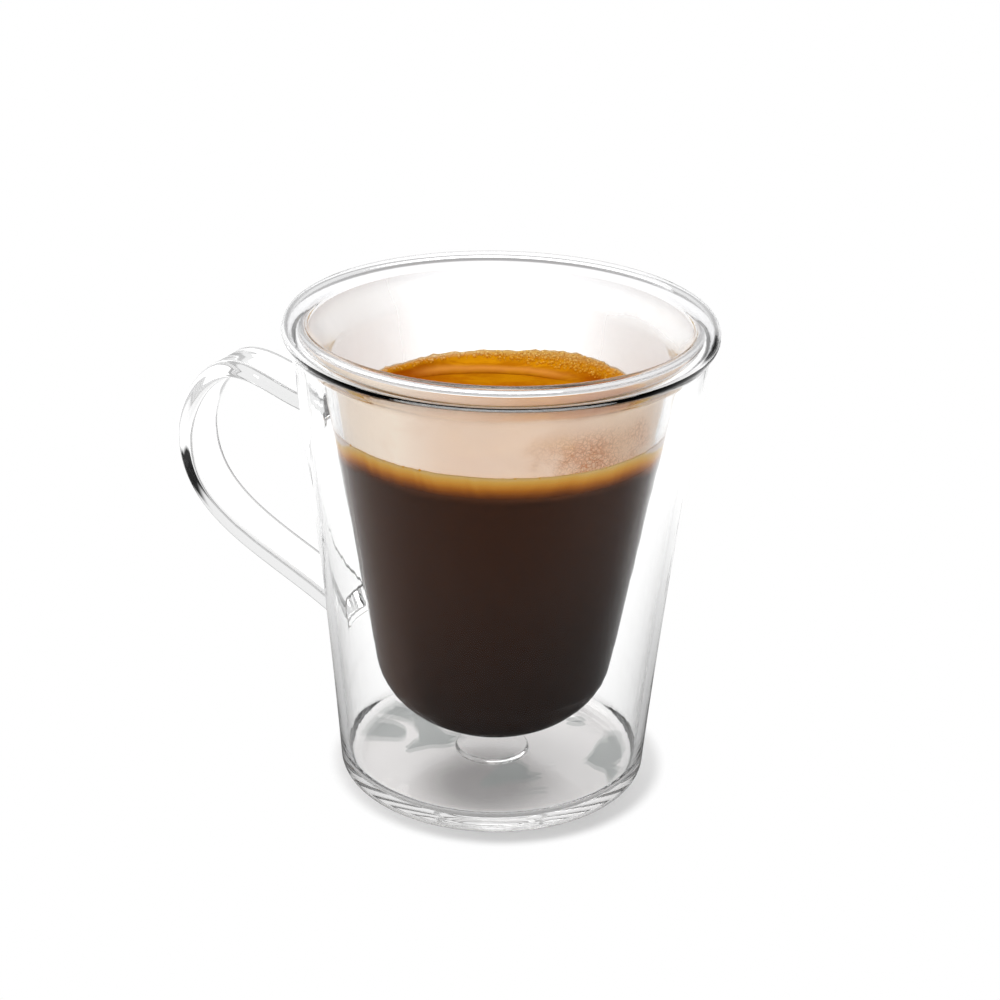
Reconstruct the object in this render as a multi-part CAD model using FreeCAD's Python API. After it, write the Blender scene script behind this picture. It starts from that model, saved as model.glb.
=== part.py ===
import FreeCAD, Part
import math
import os

# A coffee with crema in a double-walled glass mug, as blown in heat-proof glass.
# The mug stands upright on the plane z = 0 and its axis is the Z axis.
# The handle leaves the wall towards -X.  Every length is in millimetres.
#
# glass_mug   one piece of glass: outer wall, inner vessel, rolled rim and strap handle,
#             with a sealed air space between the two walls that runs up into the rim
# coffee      the dark drink, which fills the inner vessel up to the crema
# crema       the layer of golden foam on top, right across the vessel

# Mug, overall
MUG_HEIGHT = 99.4            # standing plane to the top of the rim
RIM_RADIUS = 43.0            # outermost reach of the rim
RIM_BEAD_RADIUS = 2.6        # the rim is rolled to a round bead
RIM_OVERHANG = 1.8           # the bead stands this far out over the wall
RIM_GLASS = 1.3              # glass thickness round the bead, which is hollow
NECK_TURN = -40              # degrees round the bead where it meets the outer wall
LIP_TURN = 185               # degrees round the bead where it turns down into the vessel

# Outer wall, measured on its outside
FOOT_RADIUS = 31.9           # just above the rounded foot
NECK_DROP = 6.4              # from the top of the rim down to where the wall ends
WALL_HOLLOW = 0.6            # how far the wall bows inwards at half height
OUTER_WALL = 1.6             # glass thickness
FOOT_CURVE = 2.2             # rounding between wall and underside
STANDING_RING = 1.6          # width of the flat ring that touches the table
UNDERSIDE_HOLLOW = 0.8       # rise of the underside at the axis

# Bottom of the air space
FLOOR_THICKNESS = 3.0        # glass under the air space
FLOOR_CURVE = 3.2            # rounding inside the foot
SEAL_RADIUS = 7.6            # round mark where the base was melted shut
SEAL_HEIGHT = 0.7
SEAL_SLOPE = 1.1             # width of the mark's sloping edge

# Inner vessel, measured on the drink's side
FLARE_DROP = 10.0            # from the top of the rim down to where the wall flares
AIR_GAP = 3.7                # between the two walls at that height
VESSEL_HEEL_RADIUS = 22.5    # where the round bottom starts
VESSEL_HEEL_RISE = 13.6      # height of the round bottom
VESSEL_LIFT = 11.8           # inside bottom of the vessel above the standing plane
INNER_WALL = 1.9             # glass thickness

# Drink
FREE_HEIGHT = 21.4           # from the top of the rim down to the crema
CREMA_THICKNESS = 4.0
MENISCUS_HEIGHT = 0.7        # the crema climbs this far up the glass
MENISCUS_WIDTH = 2.2
DRINK_CLEARANCE = 0.03       # between drink and glass, all round

# Handle, a flat strap that leaves the wall high, turns over and runs back down
HANDLE_WIDTH = 11.5
HANDLE_THICKNESS = 3.9
HANDLE_EDGE = 1.5            # rounding along the strap's edges
HANDLE_STANDOUT = 29.5       # from the rim's edge out to the strap's outermost point
HANDLE_CREST_DROP = 18.2     # from the top of the rim down to the strap's highest point
HANDLE_CREST_SETBACK = 12.5  # from the outermost point back to the crest
HANDLE_TIP_DROP = 18.9       # from the crest down to the outermost point
HANDLE_ROOT_DROP = 25.3      # from the top of the rim down to the upper root
HANDLE_LOW_ROOT = 28.2       # height of the lower root above the standing plane
HANDLE_LOW_SLOPE = 34.9      # degrees, how steeply the strap runs into the lower root
HANDLE_WELD = 1.0            # rounding where the strap is melted to the wall

FLARE_PULL = 0.26            # how far a curve holds on to its end directions
ROUND_PULL = 0.38            # the same for a plain rounding
STRAP_RISE_PULL = 0.30
STRAP_TURN_PULL = 0.33
STRAP_RETURN_PULL = 0.38

NECK_TOP = MUG_HEIGHT - NECK_DROP
NECK_RADIUS = RIM_RADIUS - RIM_OVERHANG
FLARE_LEVEL = MUG_HEIGHT - FLARE_DROP
CREMA_LEVEL = MUG_HEIGHT - FREE_HEIGHT
COFFEE_LEVEL = CREMA_LEVEL - CREMA_THICKNESS

AXIS_UP = FreeCAD.Vector(0, 0, 1)
ORIGIN = FreeCAD.Vector(0, 0, 0)


def point(radius, height):
    return FreeCAD.Vector(radius, 0.0, height)


def heading(radial, vertical):
    return FreeCAD.Vector(radial, 0.0, vertical).normalize()


def line(start, end):
    return Part.LineSegment(start, end).toShape()


def blend(start, start_heading, end, end_heading, pull):
    """A smooth curve that leaves and arrives along the given headings."""
    reach = pull * start.distanceToPoint(end)
    curve = Part.BezierCurve()
    curve.setPoles([start, start + start_heading * reach, end - end_heading * reach, end])
    return curve.toShape()


def turn_solid(edges):
    """The solid swept by a closed half profile that turns once about the mug's axis."""
    face = Part.Face(Part.Wire(edges))
    return face.revolve(ORIGIN, AXIS_UP, 360.0)


# ---------------------------------------------------------------- outer wall

def wall_radius(height):
    """Outside radius of the outer wall: a straight taper that bows slightly inwards."""
    share = (height - FOOT_CURVE) / (NECK_TOP - FOOT_CURVE)
    taper = FOOT_RADIUS + (NECK_RADIUS - FOOT_RADIUS) * share
    return taper - 4 * WALL_HOLLOW * share * (1 - share)


def wall_slope(height):
    """Change of the wall's radius with height."""
    rise = NECK_TOP - FOOT_CURVE
    share = (height - FOOT_CURVE) / rise
    return (NECK_RADIUS - FOOT_RADIUS - 4 * WALL_HOLLOW * (1 - 2 * share)) / rise


def wall_line(low, high, depth):
    """The wall's profile between two heights, moved inwards by a depth."""
    middle = (low + high) / 2
    start = point(wall_radius(low) - depth, low)
    corner = point(start.x + wall_slope(low) * (middle - low), middle)
    curve = Part.BezierCurve()
    curve.setPoles([start, corner, point(wall_radius(high) - depth, high)])
    return curve.toShape()


# -------------------------------------------------------------- inner vessel

def vessel_heel_height():
    return VESSEL_LIFT + VESSEL_HEEL_RISE


def vessel_slope():
    flare_radius = wall_radius(FLARE_LEVEL) - OUTER_WALL - AIR_GAP - INNER_WALL
    return (flare_radius - VESSEL_HEEL_RADIUS) / (FLARE_LEVEL - vessel_heel_height())


def vessel_point(height, depth):
    """A point of the vessel's straight side; a depth below zero lies on the air's side."""
    radius = VESSEL_HEEL_RADIUS + vessel_slope() * (height - vessel_heel_height())
    return point(radius - depth, height)


def vessel_wall(top, depth):
    """The vessel's profile from the axis up to a height, moved inwards by a depth."""
    bottom = point(0, VESSEL_LIFT + depth)
    heel = vessel_point(vessel_heel_height(), depth)
    return [
        round_bottom(bottom, heel),
        line(heel, vessel_point(top, depth)),
    ]


def round_bottom(bottom, heel):
    """A quarter of an oval from the axis out to the heel."""
    hold = 4 / 3 * (math.sqrt(2) - 1)
    curve = Part.BezierCurve()
    curve.setPoles([
        bottom,
        point(hold * heel.x, bottom.z),
        heel - point(vessel_slope(), 1) * (hold * (heel.z - bottom.z)),
        heel,
    ])
    return curve.toShape()


# --------------------------------------------------------------------- glass

def bead_point(degrees, depth):
    """A point of the rim's round section, counted from its outermost point."""
    angle = math.radians(degrees)
    reach = RIM_BEAD_RADIUS - depth
    return point(
        RIM_RADIUS - RIM_BEAD_RADIUS + reach * math.cos(angle),
        MUG_HEIGHT - RIM_BEAD_RADIUS + reach * math.sin(angle),
    )


def bead_heading(degrees):
    angle = math.radians(degrees)
    return heading(-math.sin(angle), math.cos(angle))


def rim_line(bead_glass, wall_glass, vessel_glass):
    """From the top of the outer wall, round the rolled rim and down its flare into the vessel.
    It is the outside where the thicknesses are 0, else the hollow under that much glass."""
    neck = bead_point(NECK_TURN, bead_glass)
    crown = bead_point((NECK_TURN + LIP_TURN) / 2, bead_glass)
    lip = bead_point(LIP_TURN, bead_glass)
    return [
        blend(point(NECK_RADIUS - wall_glass, NECK_TOP), heading(wall_slope(NECK_TOP), 1),
              neck, bead_heading(NECK_TURN), ROUND_PULL),
        Part.Arc(neck, crown, lip).toShape(),
        blend(lip, bead_heading(LIP_TURN),
              vessel_point(FLARE_LEVEL, -vessel_glass), heading(-vessel_slope(), -1), FLARE_PULL),
    ]


def outside_profile():
    """Underside, foot, outer wall, rim and the drink's side of the inner vessel."""
    ring_outer = FOOT_RADIUS - FOOT_CURVE
    ring_inner = ring_outer - STANDING_RING
    axis_low = point(0, UNDERSIDE_HOLLOW)
    return [
        blend(axis_low, heading(1, 0), point(ring_inner, 0), heading(8, -1), ROUND_PULL),
        line(point(ring_inner, 0), point(ring_outer, 0)),
        blend(point(ring_outer, 0), heading(1, 0),
              point(wall_radius(FOOT_CURVE), FOOT_CURVE),
              heading(wall_slope(FOOT_CURVE), 1), ROUND_PULL),
        wall_line(FOOT_CURVE, NECK_TOP, 0),
        *rim_line(0, 0, 0),
        *reversed(vessel_wall(FLARE_LEVEL, 0)),
        line(point(0, VESSEL_LIFT), axis_low),
    ]


def air_space_profile():
    """The sealed space between the two walls and in the rim, with the seal's mark on its floor."""
    corner = FLOOR_THICKNESS + FLOOR_CURVE
    floor_edge = point(wall_radius(FLOOR_THICKNESS) - OUTER_WALL - FLOOR_CURVE, FLOOR_THICKNESS)
    mark_top = FLOOR_THICKNESS + SEAL_HEIGHT
    mark_foot = point(SEAL_RADIUS + SEAL_SLOPE / 2, FLOOR_THICKNESS)
    mark_edge = point(SEAL_RADIUS - SEAL_SLOPE / 2, mark_top)
    return [
        line(point(0, mark_top), mark_edge),
        blend(mark_edge, heading(1, 0), mark_foot, heading(1, 0), ROUND_PULL),
        line(mark_foot, floor_edge),
        blend(floor_edge, heading(1, 0), point(wall_radius(corner) - OUTER_WALL, corner),
              heading(wall_slope(corner), 1), ROUND_PULL),
        wall_line(corner, NECK_TOP, OUTER_WALL),
        *rim_line(RIM_GLASS, OUTER_WALL, INNER_WALL),
        *reversed(vessel_wall(FLARE_LEVEL, -INNER_WALL)),
        line(point(0, VESSEL_LIFT - INNER_WALL), point(0, mark_top)),
    ]


def strap_path():
    """Middle line of the handle, from inside the wall at the top to inside it below."""
    half = HANDLE_THICKNESS / 2
    sunk = OUTER_WALL / 2
    crest_level = MUG_HEIGHT - HANDLE_CREST_DROP
    root_level = MUG_HEIGHT - HANDLE_ROOT_DROP
    tip = point(RIM_RADIUS + HANDLE_STANDOUT - half, crest_level - HANDLE_TIP_DROP)
    crest = point(tip.x - HANDLE_CREST_SETBACK, crest_level - half)
    slope = math.radians(HANDLE_LOW_SLOPE)
    inwards = heading(-math.cos(slope), -math.sin(slope))
    top_root = point(wall_radius(root_level) - sunk, root_level)
    low_root = point(wall_radius(HANDLE_LOW_ROOT) - sunk, HANDLE_LOW_ROOT)
    return [
        line(top_root - heading(1, 0) * half, top_root),
        blend(top_root, heading(1, 0), crest, heading(1, 0), STRAP_RISE_PULL),
        blend(crest, heading(1, 0), tip, heading(0, -1), STRAP_TURN_PULL),
        blend(tip, heading(0, -1), low_root, inwards, STRAP_RETURN_PULL),
        line(low_root, low_root + inwards * half),
    ]


def strap_section(place):
    """The strap's section, a flat bar with rounded edges, standing across its path."""
    bar = Part.makeBox(HANDLE_EDGE * 4, HANDLE_WIDTH, HANDLE_THICKNESS)
    long_edges = [edge for edge in bar.Edges if abs(edge.Length - HANDLE_EDGE * 4) < 1e-6]
    bar = bar.makeFillet(HANDLE_EDGE, long_edges)
    end = min(bar.Faces, key=lambda face: face.CenterOfMass.x)
    wire = end.OuterWire
    wire.translate(place - FreeCAD.Vector(0, HANDLE_WIDTH / 2, HANDLE_THICKNESS / 2))
    return wire


def wall_core():
    """Everything inside the middle of the outer wall's thickness, over the handle's height."""
    depth = OUTER_WALL / 2
    axis_low, axis_high = point(0, FOOT_CURVE), point(0, NECK_TOP)
    return turn_solid([
        line(axis_low, point(FOOT_RADIUS - depth, FOOT_CURVE)),
        wall_line(FOOT_CURVE, NECK_TOP, depth),
        line(point(NECK_RADIUS - depth, NECK_TOP), axis_high),
        line(axis_high, axis_low),
    ])


def strap():
    """The handle, cut off inside the outer wall so that nothing enters the air space."""
    path = Part.Wire(strap_path())
    sweep = Part.BRepOffsetAPI.MakePipeShell(path)
    sweep.setBiNormalMode(FreeCAD.Vector(0, 1, 0))
    sweep.add(strap_section(path.Vertexes[0].Point))
    sweep.build()
    sweep.makeSolid()
    return sweep.shape().cut(wall_core())


def on_outer_wall(edge):
    """True for an edge that runs along the outer wall's surface beside the handle."""
    ends = [edge.valueAt(edge.FirstParameter), edge.valueAt(edge.LastParameter)]
    middle = edge.valueAt((edge.FirstParameter + edge.LastParameter) / 2)
    for place in [*ends, middle]:
        reach = math.hypot(place.x, place.y)
        if abs(reach - wall_radius(place.z)) > 0.01 or abs(place.y) > HANDLE_WIDTH / 2 + 0.1:
            return False
    return ends[0].x > 0


def make_glass_mug():
    walls = turn_solid(outside_profile())
    mug = walls.fuse(strap())
    welds = [edge for edge in mug.Edges if on_outer_wall(edge)]
    mug = mug.makeFillet(HANDLE_WELD, welds)
    mug = mug.cut(turn_solid(air_space_profile()))
    mug.rotate(ORIGIN, AXIS_UP, 180)
    return mug


# --------------------------------------------------------------------- drink

def make_coffee():
    surface = vessel_point(COFFEE_LEVEL, DRINK_CLEARANCE)
    return turn_solid([
        *vessel_wall(COFFEE_LEVEL, DRINK_CLEARANCE),
        line(surface, point(0, COFFEE_LEVEL)),
        line(point(0, COFFEE_LEVEL), point(0, VESSEL_LIFT + DRINK_CLEARANCE)),
    ])


def make_crema():
    low_edge = vessel_point(COFFEE_LEVEL, DRINK_CLEARANCE)
    high_edge = vessel_point(CREMA_LEVEL + MENISCUS_HEIGHT, DRINK_CLEARANCE)
    flat_edge = point(high_edge.x - MENISCUS_WIDTH, CREMA_LEVEL)
    return turn_solid([
        line(point(0, COFFEE_LEVEL), low_edge),
        line(low_edge, high_edge),
        blend(high_edge, heading(-1, -1), flat_edge, heading(-1, 0), ROUND_PULL),
        line(flat_edge, point(0, CREMA_LEVEL)),
        line(point(0, CREMA_LEVEL), point(0, COFFEE_LEVEL)),
    ])


def write_step(name, shape):
    solids = shape.Solids
    if len(solids) != 1 or not solids[0].isValid():
        raise ValueError(name + " isn't one sound solid")
    solids[0].exportStep(os.path.join("parts", name + ".step"))
    print(name, "volume %.1f cubic centimetres" % (solids[0].Volume / 1000))


os.makedirs("parts", exist_ok=True)
write_step("glass_mug", make_glass_mug())
write_step("coffee", make_coffee())
write_step("crema", make_crema())
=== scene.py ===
import math

import bmesh
import bpy
import numpy as np
from mathutils import Matrix, Vector, noise


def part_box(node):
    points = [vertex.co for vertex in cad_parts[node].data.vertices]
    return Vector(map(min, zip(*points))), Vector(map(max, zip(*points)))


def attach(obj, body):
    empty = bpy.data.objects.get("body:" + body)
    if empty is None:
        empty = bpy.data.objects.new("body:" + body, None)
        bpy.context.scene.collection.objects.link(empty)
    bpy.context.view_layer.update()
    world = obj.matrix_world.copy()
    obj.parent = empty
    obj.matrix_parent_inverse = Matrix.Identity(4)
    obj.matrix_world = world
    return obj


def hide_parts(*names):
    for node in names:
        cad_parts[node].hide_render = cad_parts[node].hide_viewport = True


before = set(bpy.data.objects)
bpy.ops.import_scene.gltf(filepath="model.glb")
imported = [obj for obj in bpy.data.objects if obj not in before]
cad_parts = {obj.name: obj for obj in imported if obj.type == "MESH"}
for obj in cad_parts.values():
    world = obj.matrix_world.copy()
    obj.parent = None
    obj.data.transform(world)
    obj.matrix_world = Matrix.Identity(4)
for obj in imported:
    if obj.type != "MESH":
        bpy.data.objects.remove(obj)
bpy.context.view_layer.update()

# A coffee with crema in a double-walled glass mug.  Lengths are in metres, the mug's axis is
# the Z axis, it stands on z = 0 and its handle points along -X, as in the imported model.
#
# glass       mug_glass          walls, rolled rim, sealed air space and strap handle
# drink       coffee_body        the dark drink
#             crema_layer        the golden foam with its raised edge
#             crema_bubbles      bubbles along the foam's edge
# moisture    breath_fog         the misted zone above the drink
#             dew_drops          fine drops in the mist

MM = 0.001
glass_low, glass_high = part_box("glass_mug")
coffee_low, coffee_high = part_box("coffee")

# Mug, overall
MUG_HEIGHT = glass_high.z
RIM_RADIUS = glass_high.y
RIM_BEAD_RADIUS = 2.6 * MM
RIM_OVERHANG = 1.8 * MM
RIM_GLASS = 1.3 * MM
NECK_TURN = -40
LIP_TURN = 185

# Outer wall
FOOT_RADIUS = 31.9 * MM
NECK_DROP = 6.4 * MM
WALL_HOLLOW = 0.6 * MM
OUTER_WALL = 1.6 * MM
FOOT_CURVE = 2.2 * MM
STANDING_RING = 1.6 * MM
UNDERSIDE_HOLLOW = 0.8 * MM

# Bottom of the air space
FLOOR_THICKNESS = 3.0 * MM
FLOOR_CURVE = 3.2 * MM
SEAL_RADIUS = 7.6 * MM
SEAL_HEIGHT = 0.7 * MM
SEAL_SLOPE = 1.1 * MM

# Inner vessel, measured on the drink's side
FLARE_DROP = 10.0 * MM
AIR_GAP = 3.7 * MM
VESSEL_HEEL_RADIUS = 22.5 * MM
VESSEL_HEEL_RISE = 13.6 * MM
DRINK_CLEARANCE = 0.03 * MM
VESSEL_LIFT = coffee_low.z - DRINK_CLEARANCE
INNER_WALL = 1.9 * MM

# Drink
COFFEE_LEVEL = coffee_high.z
CREMA_THICKNESS = 4.0 * MM
CREMA_LEVEL = COFFEE_LEVEL + CREMA_THICKNESS
INTO_WALL = 0.15 * MM

# How high the foam climbs the glass: all round, more at the back and most at the back right
FOAM_CLIMB = 0.65 * MM
FOAM_CLIMB_BACK = 1.55 * MM
FOAM_CLIMB_RIGHT = 1.7 * MM
# Where the foam's colours begin above its level, and how far they sag at the viewer's flanks
FOAM_TOP = 0.7 * MM
FOAM_SAG = 2.5 * MM

# Bubbles and drops: smallest and largest radius, and how many crowd on a square metre
BUBBLE_SIZES = (0.10 * MM, 0.42 * MM)
BUBBLE_CROWD = 9.0e6
DROP_SIZES = (0.06 * MM, 0.20 * MM)
DROP_CROWD = 5.0e6
# How far the mist lies off the glass
MIST_FILM = 0.02 * MM

# Handle
HANDLE_WIDTH = 11.5 * MM
HANDLE_THICKNESS = 3.9 * MM
HANDLE_EDGE = 1.5 * MM
HANDLE_TIP_RADIUS = -glass_low.x
HANDLE_CREST_DROP = 18.2 * MM
HANDLE_CREST_SETBACK = 12.5 * MM
HANDLE_TIP_DROP = 18.9 * MM
HANDLE_ROOT_DROP = 25.3 * MM
HANDLE_LOW_ROOT = 28.2 * MM
HANDLE_LOW_SLOPE = math.radians(34.9)
HANDLE_WELD = 1.0 * MM

# How far each curve keeps to its headings, as a share of the way between its ends
FLARE_PULL = 0.26
ROUND_PULL = 0.38
STRAP_RISE_PULL = 0.30
STRAP_TURN_PULL = 0.33
STRAP_RETURN_PULL = 0.38

NECK_TOP = MUG_HEIGHT - NECK_DROP
NECK_RADIUS = RIM_RADIUS - RIM_OVERHANG
FLARE_LEVEL = MUG_HEIGHT - FLARE_DROP
HEEL_LEVEL = VESSEL_LIFT + VESSEL_HEEL_RISE

# Where the viewer stands: the side of the mug that faces the camera is turned this far
# from -Y towards +X.  It gives the level directions to the viewer's right and straight ahead.
FRONT_TURN = math.radians(24)
TO_RIGHT = Vector((math.cos(FRONT_TURN), math.sin(FRONT_TURN), 0))
AHEAD = Vector((-math.sin(FRONT_TURN), math.cos(FRONT_TURN), 0))
# The room's dark corner lies this far to the right of straight beyond the mug
CORNER_TURN = math.radians(42)

# Points round every turned shape
TURNS = 200

# Places on the level plane, as the viewer sees them: right, then away
FOLD_CENTRE = (-2 * MM, -9 * MM, 0)
FOLD_RADIUS = 33.6 * MM
BASE_SHADE_CENTRE = (-1 * MM, -15 * MM, 0)
FOOT_SHADOW_CENTRE = (1.2 * MM, 0, 0)
FOOT_SHADOW_RADIUS = 32.5 * MM
FOOT_SHADOW_EDGE = 3.7 * MM

# Camera: where it looks, from how far and how steeply, and how long its lens is for its sensor
CAMERA_AIM_RIGHT = 0.52 * MM
CAMERA_AIM_HEIGHT = 59.57 * MM
CAMERA_DISTANCE = 450 * MM
CAMERA_DOWN = math.radians(23.75)
CAMERA_ROLL = math.radians(1.30)
CAMERA_SENSOR = 36.0
CAMERA_LENS = 2.221 * CAMERA_SENSOR

# Room
FLOOR_REACH = 2.0
LAMP_PLACE = Vector((-0.30, 0.30, 0.65))
LAMP_AIM = Vector((0, 0, 0.05))
LAMP_WIDTH = 0.5
LAMP_DEPTH = 0.4
LAMP_POWER = 2.0


def ramped(value, low, high):
    """0 below low, 1 above high and even between them; falls where low is above high."""
    return min(max((value - low) / (high - low), 0.0), 1.0)


# ------------------------------------------------------------------ profiles

def heading(radial, vertical):
    return Vector((radial, vertical)).normalized()


def bezier(poles, steps):
    """Points along a cubic curve, with both ends."""
    a, b, c, d = poles
    found = []
    for i in range(steps + 1):
        t = i / steps
        s = 1 - t
        found.append(a * s**3 + b * 3 * s * s * t + c * 3 * s * t * t + d * t**3)
    return found


def blend(start, start_heading, end, end_heading, pull, steps=14):
    """A smooth curve that leaves and arrives along the given headings."""
    reach = pull * (end - start).length
    return bezier([start, start + start_heading * reach, end - end_heading * reach, end], steps)


def run(start, end, steps=1):
    return [start.lerp(end, i / steps) for i in range(steps + 1)]


def wall_radius(height):
    """Outside radius of the outer wall: a straight taper that bows slightly inwards."""
    share = (height - FOOT_CURVE) / (NECK_TOP - FOOT_CURVE)
    taper = FOOT_RADIUS + (NECK_RADIUS - FOOT_RADIUS) * share
    return taper - 4 * WALL_HOLLOW * share * (1 - share)


def wall_slope(height):
    """Change of the wall's radius with height."""
    rise = NECK_TOP - FOOT_CURVE
    share = (height - FOOT_CURVE) / rise
    return (NECK_RADIUS - FOOT_RADIUS - 4 * WALL_HOLLOW * (1 - 2 * share)) / rise


def wall_line(low, high, depth, steps=36):
    levels = [low + (high - low) * i / steps for i in range(steps + 1)]
    return [Vector((wall_radius(level) - depth, level)) for level in levels]


def vessel_slope():
    flare_radius = wall_radius(FLARE_LEVEL) - OUTER_WALL - AIR_GAP - INNER_WALL
    return (flare_radius - VESSEL_HEEL_RADIUS) / (FLARE_LEVEL - HEEL_LEVEL)


def vessel_point(height, depth):
    """A point of the vessel's straight side; a depth below zero lies on the air's side."""
    return Vector((VESSEL_HEEL_RADIUS + vessel_slope() * (height - HEEL_LEVEL) - depth, height))


def vessel_wall(top, depth):
    """The vessel's profile from the axis up to a height, moved inwards by a depth."""
    bottom = Vector((0, VESSEL_LIFT + depth))
    heel = vessel_point(HEEL_LEVEL, depth)
    hold = 4 / 3 * (math.sqrt(2) - 1)
    side = Vector((vessel_slope(), 1)) * (hold * (heel.y - bottom.y))
    rounding = bezier([bottom, Vector((hold * heel.x, bottom.y)), heel - side, heel], 40)
    return rounding + run(heel, vessel_point(top, depth), 12)


def bead_point(degrees, depth=0):
    """A point of the rim's round section, or of the hollow in it, from its outermost point."""
    angle = math.radians(degrees)
    reach = RIM_BEAD_RADIUS - depth
    centre = Vector((RIM_RADIUS - RIM_BEAD_RADIUS, MUG_HEIGHT - RIM_BEAD_RADIUS))
    return centre + Vector((math.cos(angle), math.sin(angle))) * reach


def bead_arc(depth=0):
    steps = 44
    turns = [NECK_TURN + (LIP_TURN - NECK_TURN) * i / steps for i in range(steps + 1)]
    return [bead_point(turn, depth) for turn in turns]


def bead_heading(degrees):
    angle = math.radians(degrees)
    return heading(-math.sin(angle), math.cos(angle))


def joined(*stretches):
    """One list of points from stretches that end where the next begins."""
    points = []
    for stretch in stretches:
        for place in stretch:
            if not points or (place - points[-1]).length > 1e-7:
                points.append(place)
    return points


def rim_curve(depth, neck_glass, flare_glass):
    """From the top of the outer wall, round the rolled rim and down its flare into the vessel:
    the outside for a depth of 0, else the hollow under that thickness of glass."""
    neck_top = Vector((NECK_RADIUS - neck_glass, NECK_TOP))
    flare = vessel_point(FLARE_LEVEL, -flare_glass)
    bead = bead_arc(depth)
    return joined(
        blend(neck_top, heading(wall_slope(NECK_TOP), 1), bead[0], bead_heading(NECK_TURN),
              ROUND_PULL),
        bead,
        blend(bead[-1], bead_heading(LIP_TURN), flare, heading(-vessel_slope(), -1),
              FLARE_PULL, 24),
    )


def outside_profile():
    """Underside, foot, outer wall, rim and the drink's side of the inner vessel."""
    ring_outer = Vector((FOOT_RADIUS - FOOT_CURVE, 0))
    ring_inner = ring_outer - Vector((STANDING_RING, 0))
    axis_low = Vector((0, UNDERSIDE_HOLLOW))
    foot_top = Vector((wall_radius(FOOT_CURVE), FOOT_CURVE))
    return joined(
        blend(axis_low, heading(1, 0), ring_inner, heading(8, -1), ROUND_PULL, 20),
        run(ring_inner, ring_outer, 2),
        blend(ring_outer, heading(1, 0), foot_top, heading(wall_slope(FOOT_CURVE), 1), ROUND_PULL),
        wall_line(FOOT_CURVE, NECK_TOP, 0),
        rim_curve(0, 0, 0),
        reversed(vessel_wall(FLARE_LEVEL, 0)),
    )


def air_space_profile():
    """The sealed space between the two walls and in the rim, with the seal's mark on its floor."""
    corner = FLOOR_THICKNESS + FLOOR_CURVE
    corner_place = Vector((wall_radius(corner) - OUTER_WALL, corner))
    floor_radius = wall_radius(FLOOR_THICKNESS) - OUTER_WALL - FLOOR_CURVE
    floor_edge = Vector((floor_radius, FLOOR_THICKNESS))
    mark_top = Vector((0, FLOOR_THICKNESS + SEAL_HEIGHT))
    mark_foot = Vector((SEAL_RADIUS + SEAL_SLOPE / 2, FLOOR_THICKNESS))
    mark_edge = Vector((SEAL_RADIUS - SEAL_SLOPE / 2, mark_top.y))
    sideways = heading(1, 0)
    return joined(
        run(mark_top, mark_edge, 3),
        blend(mark_edge, sideways, mark_foot, sideways, ROUND_PULL, 10),
        run(mark_foot, floor_edge, 8),
        blend(floor_edge, sideways, corner_place, heading(wall_slope(corner), 1), ROUND_PULL),
        wall_line(corner, NECK_TOP, OUTER_WALL, 24),
        rim_curve(RIM_GLASS, OUTER_WALL, INNER_WALL),
        reversed(vessel_wall(FLARE_LEVEL, -INNER_WALL)),
    )


# -------------------------------------------------------------------- meshes

def turned(profile):
    """Vertices and faces of a profile turned once about the axis, closed where it meets it."""
    places, rings = [], []
    for point in profile:
        if point.x < 1e-7:
            rings.append([len(places)] * TURNS)
            places.append((0.0, 0.0, point.y))
            continue
        rings.append(list(range(len(places), len(places) + TURNS)))
        for k in range(TURNS):
            angle = 2 * math.pi * k / TURNS
            places.append((point.x * math.cos(angle), point.x * math.sin(angle), point.y))
    faces = []
    for low, high in zip(rings, rings[1:]):
        for k in range(TURNS):
            after = (k + 1) % TURNS
            corners = [low[k], low[after], high[after], high[k]]
            faces.append(list(dict.fromkeys(corners)))
    return places, faces


def piece(name, places, faces, smooth=True):
    """A mesh object in the scene, shaded smooth unless it is flat."""
    mesh = bpy.data.meshes.new(name)
    mesh.from_pydata(places, [], faces)
    made = bpy.data.objects.new(name, mesh)
    bpy.context.scene.collection.objects.link(made)
    mesh.polygons.foreach_set("use_smooth", [smooth] * len(mesh.polygons))
    return made


def face_outwards(made, inwards=False):
    """Turns a closed mesh's faces outwards, or inwards for a hollow."""
    work = bmesh.new()
    work.from_mesh(made.data)
    bmesh.ops.recalc_face_normals(work, faces=work.faces)
    if (work.calc_volume(signed=True) < 0) != inwards:
        bmesh.ops.reverse_faces(work, faces=work.faces)
    work.to_mesh(made.data)
    work.free()


def evaluated(made, name):
    """The object with its modifiers worked into a plain mesh; the old object goes."""
    depsgraph = bpy.context.evaluated_depsgraph_get()
    mesh = bpy.data.meshes.new_from_object(made.evaluated_get(depsgraph))
    finished = bpy.data.objects.new(name, mesh)
    mesh.name = name
    bpy.context.scene.collection.objects.link(finished)
    bpy.data.objects.remove(made)
    return finished


# -------------------------------------------------------------------- handle

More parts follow.
